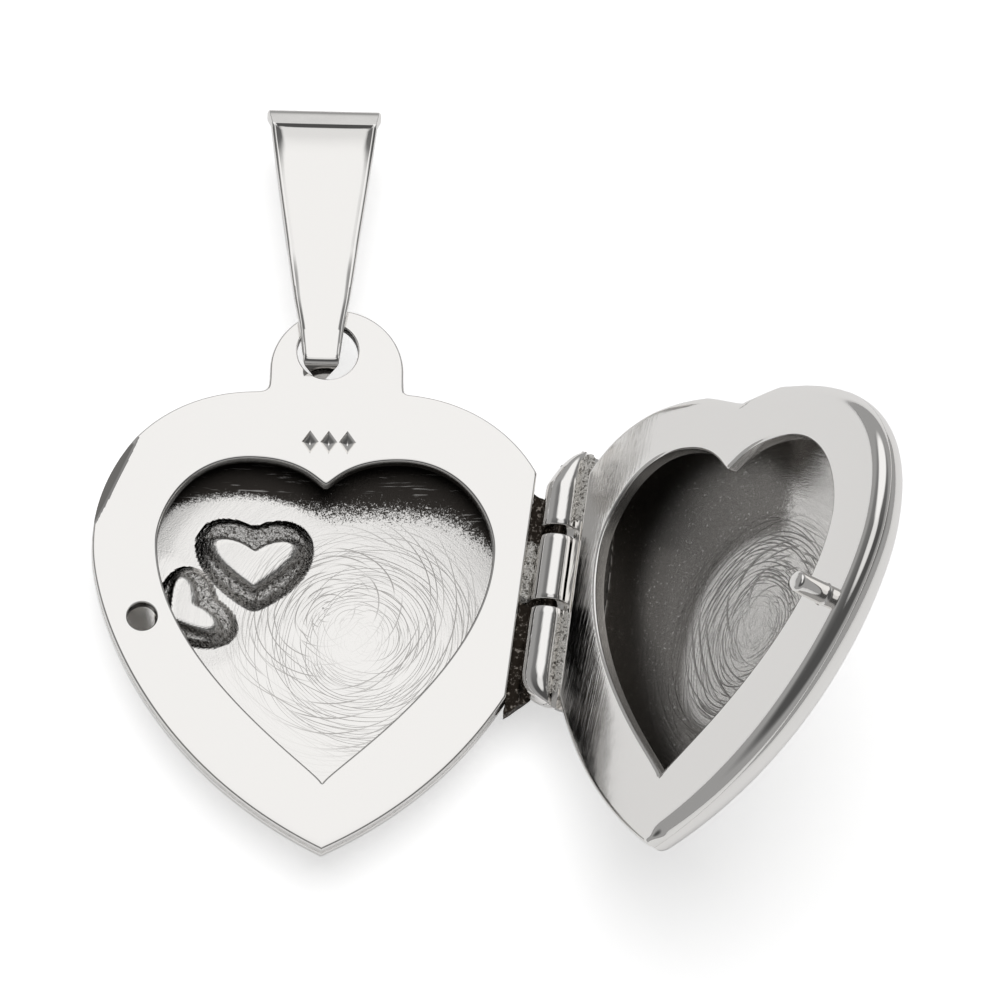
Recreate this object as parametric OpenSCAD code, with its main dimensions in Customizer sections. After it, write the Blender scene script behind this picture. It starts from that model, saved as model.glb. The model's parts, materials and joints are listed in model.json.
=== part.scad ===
// Heart locket, lying open, with a tapered bail through the tab of its front half.
// Millimetres. Both halves are drawn closed, face to face across the plane z = 0 of the
// heart's own frame: its origin is the middle of the heart, +Y points to the bail and +X
// to the hinge. The front half (below the plane) stays put with its dome on the ground,
// the back half turns open about the hinge, and the whole is then moved so that the
// origin is the middle of the bounding box, on the ground.

/* [Heart] */
// Half width of each flat frame at its widest
heart_half_w = 10.4; // [10.2:0.05:10.6]
// Height of the tip below the middle of the heart
heart_tip = 12.4; // [12.0:0.1:12.8]
// Height of the lobes above the middle of the heart
heart_top = 8.6; // [8.4:0.05:8.8]
// Half width of the window in each frame
window_half_w = 7.5; // [7.0:0.1:7.6]
// Height of the window's tip below the middle of the heart
window_tip = 9.3; // [8.8:0.1:9.4]
// Thickness of each flat frame
frame_t = 0.6; // [0.5:0.05:0.7]
// Depth of each half, from the meeting plane to the top of its dome
half_depth = 3.1; // [2.8:0.1:3.4]
// Thickness of the sheet of the shells
shell_t = 0.35; // [0.3:0.01:0.4]
// Height of the impressed hearts on the inside of the front shell
press_h = 0.9; // [0.4:0.1:1.0]
// Space left between the two frames when the locket is closed
closing_gap = 0.04; // [0.02:0.01:0.1]

/* [Tab and catch] */
// Radius of the tab that carries the bail
tab_r = 3.02; // [2.9:0.02:3.1]
// Radius of the hole in the tab
tab_hole_r = 1.38; // [1.36:0.01:1.4]
// Radius of the catch post on the back half
post_r = 0.48; // [0.4:0.01:0.5]
// Length of the catch post
post_len = 1.85; // [1.5:0.05:1.9]
// Radius of the catch hole in the front frame
catch_hole_r = 0.66; // [0.64:0.01:0.7]

/* [Hinge] */
// How far the cover stands open from closed, in degrees
open_angle = 129.5; // [100:0.5:160]
// Outer radius of the hinge knuckles
knuckle_r = 0.85; // [0.8:0.01:0.9]
// Radius of the hinge pin
pin_r = 0.35; // [0.3:0.01:0.4]
// Distance from the hinge axis to the straight edge of each frame
hinge_reach = 1.35; // [1.3:0.01:1.45]
// Lean of the hinge axis from the heart's own axis, in degrees
hinge_lean = 7.3; // [6.5:0.1:8]

/* [Bail] */
// Width of the bail at its fold
bail_top_w = 5.4; // [4.8:0.1:5.8]
// Width of the bail where it passes through the tab
bail_neck_w = 1.6; // [1.4:0.05:1.65]
// Thickness of the bail's strip
bail_t = 0.45; // [0.4:0.01:0.5]
// Depth of the bail from front to back at its fold
bail_depth = 3.6; // [3.3:0.1:3.8]
// Slope of the bail down to the ground, in degrees
bail_slope = 5; // [4:0.5:6]

/* [Hidden] */
$fn = 48;

// The middle of the heart in the part's own frame
heart_place = [-6.88, -4.42, 3.1];

// Hinge: the axis crosses the heart's X axis here; stations along it are read from there
hinge_x = 10.11;
front_knuckle_span = [-0.7, 2.45];
top_knuckle_span = [2.9, 6.8];
bottom_knuckle_span = [-5.6, -1.05];
bearer_span = [-5.9, 6.4];
pin_span = [-5.2, 6.0];
pin_play = 0.03;
trough_play = 0.1;
bearer_depth = 1.2;
// Where a bearer stops short of the axis, and of the meeting plane
bearer_back = 0.25;
bearer_drop = 0.05;
// The outer ends of the back knuckles: where the filed slant starts, and its angle
top_filed_y = 6.2;
bottom_filed_y = -5.1;
filed_slant = 35;
// How much shorter than its knuckle the solder is, at the filed ends
top_solder_gap = 0.9;
bottom_solder_gap = 0.4;

// Tab, catch and marks
tab_at = [0.42, 10.45];
tab_hole_at = [0, 11.43];
shoulder_y = 9.42;
neck_fillet_r = 0.9;
catch_at = [-8.1, -1.6];
mark_at = [0.1, 6.95];
mark_step = 0.8;
mark_r = 0.28;
mark_depth = 0.12;
nick_at = [-9.3, 4.85];
nick_turn = 156.4;
nick_slope = 36;
nick_len = 4.6;

// Shell meshes: corners round a ring, and rings from rim to dome top
front_round = 96;
front_rings = 15;
back_round = 72;
back_rings = 9;
rim_z = -frame_t - closing_gap / 2;
wall_bulge = 0.012;
rim_step = 0.15;
dome_core_r = 8.8;

// Impressed hearts in the front shell: place, half width, height over half width, turn
impressed = [[-3.1, 1.65, 2.4, 0.74, 0], [-6.05, -0.6, 1.95, 0.76, -56]];

// Bail: places along it are heights above the middle of the heart
bail_foot_y = 10.3;
bail_fold_y = 23.2;
bail_crease_y = 22.45;
bail_pivot = [-0.3, 12.75, -0.3];
bail_foot_r = 1.05;
bail_bend_steps = 14;
// The fold: a little below the crease behind, the depth of its bevel and of its front edge
bail_crease_drop = 0.2;
bail_bevel = 1;
bail_lip = 0.3;
// Half widths of the bail on the way up: height, share of the width at its fold
bail_taper = [[13.5, 0.455], [17.9, 0.69], [22.3, 0.905], [23.2, 1]];

far = 60;

// ---- outlines ----

function bezier(p, t) =
    pow(1 - t, 3) * p[0] + 3 * t * pow(1 - t, 2) * p[1] + 3 * t * t * (1 - t) * p[2]
    + pow(t, 3) * p[3];

// Right half of a heart from cleft to tip: cleft height, lobe top, widest point and tip,
// with the reach of the curve's handles at each
function half_heart(cleft, lobe, wide, tip, reach) = [
    [[0, cleft], [reach[0], cleft], [lobe[0] - reach[1], lobe[1]], lobe],
    [lobe, [lobe[0] + reach[2], lobe[1]], [wide[0], wide[1] + reach[3]], wide],
    [wide, [wide[0], wide[1] - reach[4]], [reach[5], tip + reach[6]], [0, tip]]
];

// Closed outline with n points (a multiple of 12), anticlockwise from the tip
function heart_outline(curves, n) =
    let (
        share = [n / 12, n / 6, n / 4],
        half = [for (c = [0:2]) for (i = [0:share[c] - 1]) bezier(curves[c], i / share[c])],
        right = concat(half, [[0, curves[2][3][1]]]),
        m = len(right)
    )
    concat(
        [for (i = [m - 1:-1:0]) right[i]],
        [for (i = [1:m - 2]) [-right[i][0], right[i][1]]]
    );

// Frame edge of both halves, before the hinge side is cut straight
edge_curves = half_heart(
    heart_top - 0.48, [2.6, heart_top], [heart_half_w, 1.8], -heart_tip,
    [0.6, 0.5, 5, 4.4, 2.9, 8, 3.94]);

// Frame edge of the front half, with fuller shoulders that run into the tab
shoulder_curves = half_heart(
    shoulder_y, [3, shoulder_y], [heart_half_w, 1.8], -heart_tip,
    [1, 1, 4.2, 4.6, 2.9, 8, 3.94]);

window_curves = half_heart(
    4.89, [3.35, 6.11], [window_half_w, 1.98], -window_tip,
    [0.35, 2.46, 2.97, 1.36, 5.68, 0.29, 0.69]);

hinge_normal = [cos(hinge_lean), -sin(hinge_lean)];

// Point p of the frame edge's outline, drawn in by factor s while the heart fades to a round
// dome, and held inside the hinge's edge by at least the given inset
function shell_point(p, s, inset) =
    let (
        heart_share = min(1, s * s),
        q = s * (p * heart_share + p / norm(p) * dome_core_r * (1 - heart_share)),
        out = q * hinge_normal,
        most = hinge_x * hinge_normal[0] - hinge_reach - inset
    )
    out > most ? q * most / out : q;

// ---- shells ----

// Depth of the dome below the shell's rim where the outline is drawn in by factor s
function dome_z(s, depth) = -depth * pow(1 - pow(min(s, 1), 2.6), 1 / 2.3);

// 1 inside an impressed heart and 0 outside it, with a smooth flank between
function heart_press(p, h) =
    let (
        d = [p[0] - h[0], p[1] - h[1]],
        q = [d[0] * cos(h[4]) + d[1] * sin(h[4]), -d[0] * sin(h[4]) + d[1] * cos(h[4])],
        x = q[0] / h[2], y = q[1] / (h[2] * h[3]),
        level = 1 + pow(x * x + 0.04, 1 / 3) * y - x * x - y * y,
        t = min(1, max(0, level / 0.8))
    )
    t * t * (3 - 2 * t);

function press_z(p, height) = height * max([for (h = impressed) heart_press(p, h)]);

// Ring factors: a short bulging wall below the rim, then evenly round the dome
function ring_turn(k, rings) = 90 * k / rings;
function ring_scale(k, rings) =
    k == 0 ? 1 : k == rings ? 0 : cos(ring_turn(k, rings)) * (1 + wall_bulge);

function shell_points(n, rings, depth, inset, height) =
    let (edge = heart_outline(edge_curves, n))
    concat(
        [for (k = [0:rings - 1]) for (p = edge)
            let (
                s = ring_scale(k, rings) - inset / heart_half_w,
                q = shell_point(p, s, inset),
                z = k == 0 ? 0
                    : -rim_step + dome_z(cos(ring_turn(k, rings)), depth - inset - rim_step)
            )
            [q[0], q[1], rim_z + z + (height == 0 ? 0 : press_z(q, height))]],
        [[0, 0, rim_z - depth + inset]]
    );

// A closed shell: outer skin, inner skin and the rim that joins them
module shell(n, rings, height) {
    depth = half_depth + rim_z;
    outer = shell_points(n, rings, depth, 0, height);
    inner = shell_points(n, rings, depth, shell_t, height);
    m = len(outer);
    function skin(first) = [for (k = [0:rings - 2]) for (i = [0:n - 1])
        [first + k * n + i, first + k * n + (i + 1) % n,
         first + (k + 1) * n + (i + 1) % n, first + (k + 1) * n + i]];
    function quad(a) = [[a[0], a[1], a[2]], [a[0], a[2], a[3]]];
    function cap(first) = [for (i = [0:n - 1])
        [first + (rings - 1) * n + i, first + (rings - 1) * n + (i + 1) % n, first + rings * n]];
    function turned(f) = [for (i = [len(f) - 1:-1:0]) f[i]];
    outside = concat([for (a = skin(0)) each quad(a)], cap(0));
    inside = [for (f = concat([for (a = skin(m)) each quad(a)], cap(m))) turned(f)];
    rim = [for (i = [0:n - 1]) each quad([m + i, m + (i + 1) % n, (i + 1) % n, i])];
    polyhedron(concat(outer, inner), concat(outside, inside, rim), convexity = 6);
}

// ---- placing ----

module in_place() {
    translate(heart_place) children();
}

// Turns a piece that is drawn closed, on the far side of the meeting plane, to its open place
module opened() {
    translate([hinge_x, 0, 0]) rotate([0, 0, -hinge_lean]) rotate([0, open_angle, 0])
        rotate([0, 0, hinge_lean]) translate([-hinge_x, 0, 0]) children();
}

// The back half is the mirror image of a front half across the meeting plane
module as_back() {
    in_place() opened() mirror([0, 0, 1]) children();
}

// Local hinge frame: origin where the axis crosses the heart's X axis, +Y along the axis
module at_hinge() {
    translate([hinge_x, 0, 0]) rotate([0, 0, -hinge_lean]) children();
}

module rod_y(r, span) {
    translate([0, span[0], 0]) rotate([-90, 0, 0]) cylinder(r = r, h = span[1] - span[0]);
}

// ---- frames ----

module below_plane(t) {
    translate([0, 0, -t - closing_gap / 2]) linear_extrude(t) children();
}

// Everything on the heart's side of the straight hinge edge
module hinge_side_cut() {
    at_hinge() translate([-hinge_reach - far, -far / 2, -far / 2]) cube([far, far, far]);
}

module window() {
    translate([0, 0, -far / 2]) linear_extrude(far) polygon(heart_outline(window_curves, 96));
}

module drill(at, r) {
    translate([at[0], at[1], -far / 2]) cylinder(r = r, h = far);
}

// The neck between the shoulders and the round tab, with a fillet in its left corner
module tab_neck() {
    corner = [tab_at[0] - tab_r, shoulder_y];
    translate([corner[0], shoulder_y - 1]) square([2 * tab_r, tab_at[1] - shoulder_y + 1]);
    difference() {
        translate([corner[0] - neck_fillet_r, corner[1] - 0.5])
            square([neck_fillet_r + 0.5, neck_fillet_r + 0.5]);
        translate(corner + [-neck_fillet_r, neck_fillet_r]) circle(neck_fillet_r);
    }
}

// Three small round punch marks in a row
module punch_marks() {
    for (i = [-1:1]) translate([mark_at[0] + mark_step * i, mark_at[1], -closing_gap / 2 - mark_depth])
        cylinder(r = mark_r, h = 2 * mark_depth);
}

// A slanted cut along the upper left edge, for a fingernail
module nail_nick() {
    translate([nick_at[0], nick_at[1], -closing_gap / 2]) rotate([0, 0, nick_turn])
        rotate([0, nick_slope, 0]) translate([0, -far / 2, 0]) cube(far);
}

module front_frame() {
    color("gainsboro") in_place() difference() {
        union() {
            intersection() {
                below_plane(frame_t) polygon(heart_outline(shoulder_curves, 120));
                hinge_side_cut();
            }
            below_plane(frame_t) tab_neck();
            translate([tab_at[0], tab_at[1], -frame_t - closing_gap / 2])
                cylinder(r = tab_r, h = frame_t, $fn = 96);
        }
        window();
        drill(tab_hole_at, tab_hole_r);
        drill(catch_at, catch_hole_r);
        punch_marks();
        intersection() {
            nail_nick();
            translate([nick_at[0], nick_at[1], 0]) sphere(r = nick_len / 2);
        }
    }
}

module back_frame() {
    color("gainsboro") as_back() difference() {
        intersection() {
            below_plane(frame_t) polygon(heart_outline(edge_curves, 120));
            hinge_side_cut();
        }
        window();
        drill(catch_at, post_r);
    }
}

module front_shell() {
    color("silver") in_place() shell(front_round, front_rings, press_h);
}

module back_shell() {
    color("silver") as_back() shell(back_round, back_rings, 0);
}

// ---- hinge ----

// Trough that a frame's edge wears beside the knuckles, in the quarter below the plane
module bearer() {
    at_hinge() difference() {
        translate([-hinge_reach, bearer_span[0], -bearer_depth])
            cube([hinge_reach - bearer_back, bearer_span[1] - bearer_span[0], bearer_depth - bearer_drop]);
        rod_y(knuckle_r + trough_play, [-far / 2, far / 2]);
    }
}

// Solder between a trough and the knuckles that are fixed in it
module solder(spans) {
    at_hinge() for (span = spans) intersection() {
        difference() {
            rod_y(knuckle_r + trough_play, span);
            rod_y(knuckle_r, [-far / 2, far / 2]);
        }
        translate([-far - bearer_back, -far / 2, -bearer_depth])
            cube([far, far, bearer_depth - bearer_drop]);
    }
}

module knuckle(span, bore_r) {
    difference() {
        rod_y(knuckle_r, span);
        rod_y(bore_r, [-far / 2, far / 2]);
    }
}

module front_hinge_bearer() {
    color("darkgray") in_place() bearer();
}

module back_hinge_bearer() {
    color("darkgray") as_back() bearer();
}

module front_hinge_solder() {
    color("gray") in_place() solder([front_knuckle_span]);
}

module back_hinge_solder() {
    color("gray") as_back() solder([
        top_knuckle_span - [0, top_solder_gap], bottom_knuckle_span + [bottom_solder_gap, 0]]);
}

module front_knuckle() {
    color("silver") in_place() at_hinge() knuckle(front_knuckle_span, pin_r + pin_play);
}

// The outer end of each back knuckle is filed to a slant that follows the heart
module filed_knuckle(span, end_y, slant) {
    difference() {
        knuckle(span, pin_r);
        translate([0, end_y, 0]) rotate([0, 0, slant])
            translate([-far / 2, slant > 0 ? 0 : -far, -far / 2]) cube(far);
    }
}

module back_knuckle_top() {
    color("silver") as_back() at_hinge()
        filed_knuckle(top_knuckle_span, top_filed_y, filed_slant);
}

module back_knuckle_bottom() {
    color("silver") as_back() at_hinge()
        filed_knuckle(bottom_knuckle_span, bottom_filed_y, -filed_slant);
}

module hinge_pin() {
    color("dimgray") as_back() at_hinge() rod_y(pin_r, pin_span);
}

// ---- catch ----

module catch_post() {
    tail = frame_t + closing_gap / 2;
    color("silver") in_place() opened() translate([catch_at[0], catch_at[1], tail])
        mirror([0, 0, 1]) {
            cylinder(r = post_r, h = tail + post_len - post_r);
            translate([0, 0, tail + post_len - post_r]) sphere(r = post_r);
        }
}

// ---- bail ----

// Points on a circle of radius r about at, from angle a to angle b
function arc(at, r, a, b) =
    [for (i = [0:bail_bend_steps]) let (t = a + (b - a) * i / bail_bend_steps)
        at + r * [cos(t), sin(t)]];

// Side outline of the loop, drawn in (y, z) and drawn in by the inset: the foot's bend, two
// leaves that are tangent to it, and a fold with a crease in front and a bevel behind
module bail_side(inset) {
    half = bail_depth / 2 - inset;
    foot_at = [bail_foot_y + bail_foot_r, 0];
    spread = asin((half - bail_foot_r + inset) / (bail_crease_y - foot_at[0]));
    top = bail_fold_y - inset;
    polygon(concat(
        arc(foot_at, bail_foot_r - inset, 90 + spread, 270 - spread),
        [[bail_crease_y - bail_crease_drop, -half], [top, -half + bail_bevel],
         [top, half - bail_lip], [bail_crease_y, half]]
    ));
}

// Front outline of the bail, drawn in (x, y) about its own middle line
module bail_front() {
    neck_r = bail_neck_w / 2;
    side = [for (t = bail_taper) [t[1] * bail_top_w / 2, t[0]]];
    polygon(concat(
        arc([0, bail_foot_y + neck_r], neck_r, 190, 350),
        side,
        [for (i = [len(side) - 1:-1:0]) [-side[i][0], side[i][1]]]
    ));
}

module bail() {
    color("gainsboro") in_place()
        translate(bail_pivot) rotate([-bail_slope, 0, 0]) translate([0, -bail_pivot[1], 0])
            intersection() {
                translate([0, 0, -far / 2]) linear_extrude(far) bail_front();
                rotate([90, 0, 90]) translate([0, 0, -far / 2]) linear_extrude(far) difference() {
                    bail_side(0);
                    bail_side(bail_t);
                }
            }
}

front_shell();
front_frame();
front_hinge_bearer();
front_knuckle();
front_hinge_solder();
back_shell();
back_frame();
back_hinge_bearer();
back_knuckle_top();
back_knuckle_bottom();
back_hinge_solder();
hinge_pin();
catch_post();
bail();
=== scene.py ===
import json
import math
from functools import partial
import bpy
import bmesh
import numpy as np
from mathutils import Matrix, Vector, noise

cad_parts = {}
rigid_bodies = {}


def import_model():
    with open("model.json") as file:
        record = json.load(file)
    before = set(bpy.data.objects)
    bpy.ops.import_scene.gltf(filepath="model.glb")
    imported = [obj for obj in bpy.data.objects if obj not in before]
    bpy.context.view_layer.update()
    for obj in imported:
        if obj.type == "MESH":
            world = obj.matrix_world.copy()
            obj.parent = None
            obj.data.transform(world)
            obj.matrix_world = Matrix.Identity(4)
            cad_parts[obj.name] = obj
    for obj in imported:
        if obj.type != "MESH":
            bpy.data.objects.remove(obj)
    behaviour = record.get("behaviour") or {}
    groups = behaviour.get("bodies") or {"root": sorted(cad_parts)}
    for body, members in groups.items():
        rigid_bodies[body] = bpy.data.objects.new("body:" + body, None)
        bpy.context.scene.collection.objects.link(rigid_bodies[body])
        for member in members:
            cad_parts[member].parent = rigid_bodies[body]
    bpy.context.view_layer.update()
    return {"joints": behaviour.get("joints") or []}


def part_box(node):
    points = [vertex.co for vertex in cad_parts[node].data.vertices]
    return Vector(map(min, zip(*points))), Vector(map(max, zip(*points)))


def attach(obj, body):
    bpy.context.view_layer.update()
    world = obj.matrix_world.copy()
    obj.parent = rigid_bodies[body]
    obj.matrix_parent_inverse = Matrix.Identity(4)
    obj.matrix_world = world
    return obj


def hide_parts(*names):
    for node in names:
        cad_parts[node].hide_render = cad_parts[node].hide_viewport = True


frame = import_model()

# Work is done in millimetres in the heart's own frame: origin in the middle of the heart on
# the plane where the two halves meet, +X to the hinge, +Y to the bail, +Z out of the front
# half's window. The back half is drawn closed, then turned open about the hinge.
MM = 0.001

# ---- driving sizes, in millimetres ----
HALF_W = 10.4
TIP = -12.4
CLOSING_GAP = 0.04
FRAME_T = 0.6
SHELL_T = 0.35
HALF_DEPTH = 3.1
HINGE_REACH = 1.35
KNUCKLE_R = 0.85
TAB_AT, TAB_R = (0.42, 10.45), 3.02
TAB_HOLE_AT, TAB_HOLE_R = (0.0, 11.43), 1.38
CATCH_AT, CATCH_HOLE_R = (-8.1, -1.6), 0.66
POST_R, POST_LEN = 0.48, 1.85
SHOULDER_Y = 9.42
# where the tab runs into the shoulders: middle, reach and how often it is smoothed
TAB_FILLETS = [((-2.9, 9.75), 1.3, 14), ((3.5, 9.6), 0.7, 4)]
RIM_Z = -FRAME_T - CLOSING_GAP / 2
TOP_Z = -CLOSING_GAP / 2

# The heart's middle and the hinge in the frame of the CAD, in millimetres
low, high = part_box("front_frame")
HEART = Vector((low.x / MM + HALF_W, low.y / MM - TIP, high.z / MM + CLOSING_GAP / 2))
JOINTS = {j["name"]: j for j in frame["joints"]}
HINGE_P = Vector(JOINTS["cover_hinge"]["pos_m"]) / MM - HEART
HINGE_P.z = 0
HINGE_A = Vector(JOINTS["cover_hinge"]["axis"]).normalized()
HINGE_N = Vector((HINGE_A.y, -HINGE_A.x, 0))
OPEN = -math.radians(JOINTS["cover_hinge"]["range_deg"][0])
BAIL_P = Vector(JOINTS["bail_swing"]["pos_m"]) / MM - HEART

# From closed heart coordinates to the CAD's frame, for each body
TO_FRONT = Matrix.Translation(HEART)
TO_BACK = (TO_FRONT @ Matrix.Translation(HINGE_P) @ Matrix.Rotation(OPEN, 4, HINGE_A)
           @ Matrix.Translation(-HINGE_P))
BAIL_SLOPE = math.radians(-5)
TO_BAIL = TO_FRONT @ Matrix.Translation(BAIL_P) @ Matrix.Rotation(BAIL_SLOPE, 4, "X")


# ---- outlines ----

def bezier(p, t):
    """Points of the cubic curve with the four control points p, at each value of t."""
    t = np.asarray(t)[:, None]
    p = np.asarray(p, float)
    return (1 - t) ** 3 * p[0] + 3 * t * (1 - t) ** 2 * p[1] + 3 * t * t * (1 - t) * p[2] + t ** 3 * p[3]


def half_heart(cleft, lobe, wide, tip, reach):
    """Right half of a heart from cleft to tip, as a dense line of points."""
    curves = [
        [(0, cleft), (reach[0], cleft), (lobe[0] - reach[1], lobe[1]), lobe],
        [lobe, (lobe[0] + reach[2], lobe[1]), (wide[0], wide[1] + reach[3]), wide],
        [wide, (wide[0], wide[1] - reach[4]), (reach[5], tip + reach[6]), (0, tip)],
    ]
    t = np.linspace(0, 1, 200)
    return np.vstack([bezier(c, t)[(1 if i else 0):] for i, c in enumerate(curves)])


def respace(line, n):
    """n + 1 points evenly spaced along a line, ends kept."""
    step = np.r_[0, np.cumsum(np.linalg.norm(np.diff(line, axis=0), axis=1))]
    want = np.linspace(0, step[-1], n + 1)
    return np.c_[np.interp(want, step, line[:, 0]), np.interp(want, step, line[:, 1])]


def closed_heart(right, n):
    """Closed loop of n points from the tip, anticlockwise, from the right half's line."""
    r = respace(right[::-1], n // 2)
    left = r[::-1].copy()
    left[:, 0] *= -1
    return np.vstack([r, left[1:-1]])


# outer edge of the back plate and the domes, of the front plate without its tab, and the window
EDGE = half_heart(8.12, (2.6, 8.6), (HALF_W, 1.8), TIP, (0.6, 0.5, 5, 4.4, 2.9, 8, 3.94))
SHOULDER = half_heart(SHOULDER_Y, (3, SHOULDER_Y), (HALF_W, 1.8), TIP, (1, 1, 4.2, 4.6, 2.9, 8, 3.94))
WINDOW = half_heart(4.89, (3.35, 6.11), (7.5, 1.98), -9.3, (0.35, 2.46, 2.97, 1.36, 5.68, 0.29, 0.69))


def hold_inside_hinge(p, inset=0.0):
    """Points beyond the straight hinge edge are drawn in to it, towards the heart's middle."""
    n = np.array([HINGE_N.x, HINGE_N.y])
    most = HINGE_P.x * n[0] - HINGE_REACH - inset
    out = p @ n
    k = np.where(out > most, most / np.maximum(out, 1e-6), 1.0)
    return p * k[:, None]


def ray_circle(u, centre, r):
    """Far crossing of rays from the origin, along unit vectors u, with a circle (0 if none)."""
    b = u @ np.array(centre)
    d = b * b - (np.dot(centre, centre) - r * r)
    return np.where(d > 0, b + np.sqrt(np.maximum(d, 0)), 0)


def by_angle(loop, n):
    """The loop sampled again at n even angles about the middle, from the tip."""
    ang = np.unwrap(np.arctan2(loop[:, 1], loop[:, 0]))
    fan = np.linspace(-math.pi / 2, 1.5 * math.pi, n, endpoint=False)
    r = np.interp(fan, ang - ang[0] - math.pi / 2, np.linalg.norm(loop, axis=1), period=2 * math.pi)
    return np.c_[r * np.cos(fan), r * np.sin(fan)]


def front_edge(n):
    """Closed loop of the front frame: shoulders, tab and straight hinge edge, from the tip."""
    loop = hold_inside_hinge(closed_heart(SHOULDER, 1440))
    # add the straight edge's own corners by sampling rays evenly
    ang = np.arctan2(loop[:, 1], loop[:, 0])
    rad = np.linalg.norm(loop, axis=1)
    order = np.argsort(ang)
    fan = np.linspace(-math.pi, math.pi, 4001)[:-1]
    r = np.interp(fan, ang[order], rad[order], period=2 * math.pi)
    u = np.c_[np.cos(fan), np.sin(fan)]
    tab = ray_circle(u, TAB_AT, TAB_R)
    for side in (-1, 1):
        x = TAB_AT[0] + side * TAB_R
        hit = x / np.where(np.abs(u[:, 0]) > 1e-6, u[:, 0], 1e-6)
        y = hit * u[:, 1]
        tab = np.where((hit > 0) & (y > SHOULDER_Y - 1.5) & (y < TAB_AT[1]), np.maximum(tab, hit), tab)
    r = np.maximum(r, tab)
    pts = u * r[:, None]
    start = int(np.argmin(np.abs(fan + math.pi / 2)))
    pts = np.roll(pts, -start, axis=0)
    top = int(np.argmin(np.abs(pts[:, 0]) - 100 * (pts[:, 1] > 12)))
    right = respace(pts[:top + 1], n // 2)
    left = respace(np.vstack([pts[top:], pts[:1]]), n // 2)
    loop = np.vstack([right, left[1:-1]])
    for at, reach, passes in TAB_FILLETS:
        loop = soften(loop, at, reach, passes)
    return loop


def soften(loop, at, reach, passes):
    """Rounds the loop near a point, fading out with distance."""
    for _ in range(passes):
        w = np.clip(1 - np.linalg.norm(loop - np.array(at), axis=1) / reach, 0, 1)[:, None]
        mean = (np.roll(loop, 1, axis=0) + np.roll(loop, -1, axis=0)) / 2
        loop = loop + (mean - loop) * w * 0.9
    return loop


def distance_to(points, loop):
    """Least distance from each point to a closed loop."""
    a, b = loop, np.roll(loop, -1, axis=0)
    out = np.full(len(points), 1e9)
    ab = b - a
    ll = np.maximum((ab * ab).sum(1), 1e-12)
    for i in range(0, len(points), 2000):
        p = points[i:i + 2000, None, :]
        t = np.clip(((p - a) * ab).sum(2) / ll, 0, 1)
        out[i:i + 2000] = np.linalg.norm(p - (a + t[..., None] * ab), axis=2).min(1)
    return out


# ---- mesh helpers ----

# mirrors a shape drawn as if for the front half to the back half
FLIP = np.array([1, 1, -1])


def placed_mesh(name, verts, faces, place):
    """A mesh with its normals out, from points in closed heart coordinates."""
    m = np.array(place)
    v = (np.asarray(verts, float) @ m[:3, :3].T + m[:3, 3]) * MM
    mesh = bpy.data.meshes.new(name)
    mesh.from_pydata(v.tolist(), [], [tuple(int(i) for i in f) for f in faces])
    mesh.update()
    bm = bmesh.new()
    bm.from_mesh(mesh)
    bmesh.ops.recalc_face_normals(bm, faces=bm.faces)
    bm.to_mesh(mesh)
    bm.free()
    return mesh


def make_object(name, verts, faces, place, body, node, smooth_angle=35):
    """An object from points in closed heart coordinates, placed and riding on its body."""
    obj = bpy.data.objects.new(name, placed_mesh(name, verts, faces, place))
    bpy.context.collection.objects.link(obj)
    shade(obj, smooth_angle)
    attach(obj, body)
    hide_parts(node)
    return obj


def shade(obj, angle):
    """Smooth shading, with a crease wherever faces meet at more than the angle."""
    obj.data.shade_smooth()
    obj.data.set_sharp_from_angle(angle=math.radians(angle))


def loft(rings, close_ring=True, close_loft=False):
    """Verts and quads that join rings of equal length one to the next."""
    n = len(rings[0])
    verts = np.vstack(rings)
    faces = []
    rows = len(rings)
    for k in range(rows if close_loft else rows - 1):
        k2 = (k + 1) % rows
        for i in range(n if close_ring else n - 1):
            j = (i + 1) % n
            faces.append((k * n + i, k * n + j, k2 * n + j, k2 * n + i))
    return verts, faces


def cap(verts, faces, n):
    """Faces that also close both ends of a loft of rings of n points."""
    return faces + [tuple(range(n))[::-1], tuple(len(verts) - n + i for i in range(n))]


def cut(obj, cutter_verts, cutter_faces, place):
    """Takes a closed shape out of an object, exactly."""
    mesh = placed_mesh("cutter", cutter_verts, cutter_faces, place)
    tool = bpy.data.objects.new("cutter", mesh)
    bpy.context.collection.objects.link(tool)
    mod = obj.modifiers.new("cut", "BOOLEAN")
    mod.operation = "DIFFERENCE"
    mod.solver = "EXACT"
    mod.object = tool
    bpy.context.view_layer.objects.active = obj
    bpy.context.view_layer.update()
    dg = bpy.context.evaluated_depsgraph_get()
    done = bpy.data.meshes.new_from_object(obj.evaluated_get(dg))
    obj.modifiers.remove(mod)
    old = obj.data
    obj.data = done
    bpy.data.meshes.remove(old)
    bpy.data.objects.remove(tool, do_unlink=True)
    bpy.data.meshes.remove(mesh)


def lathe(profile, n, centre):
    """Round shape from (radius, z) pairs, with flat ends."""
    ang = np.linspace(0, 2 * math.pi, n, endpoint=False)
    rings = [np.c_[centre[0] + r * np.cos(ang), centre[1] + r * np.sin(ang), np.full(n, z)]
             for r, z in profile]
    verts, faces = loft(rings)
    return verts, cap(verts, faces, n)


def smooth_step(t):
    """0 to 1 as t goes from 0 to 1, level at both ends."""
    t = np.clip(t, 0, 1)
    return t * t * (3 - 2 * t)


# ---- frames ----

# least height left of a plate at a rounded edge
LEAST_WALL = 0.05
WINDOW_ROUND = (0.14, 0.12)


def round_off(d, width, height):
    """Drop of a rounded edge at distance d from it."""
    u = 1 - np.clip(d / width, 0, 1)
    return height * (1 - np.sqrt(np.clip(1 - u * u, 0, 1)))


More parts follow.
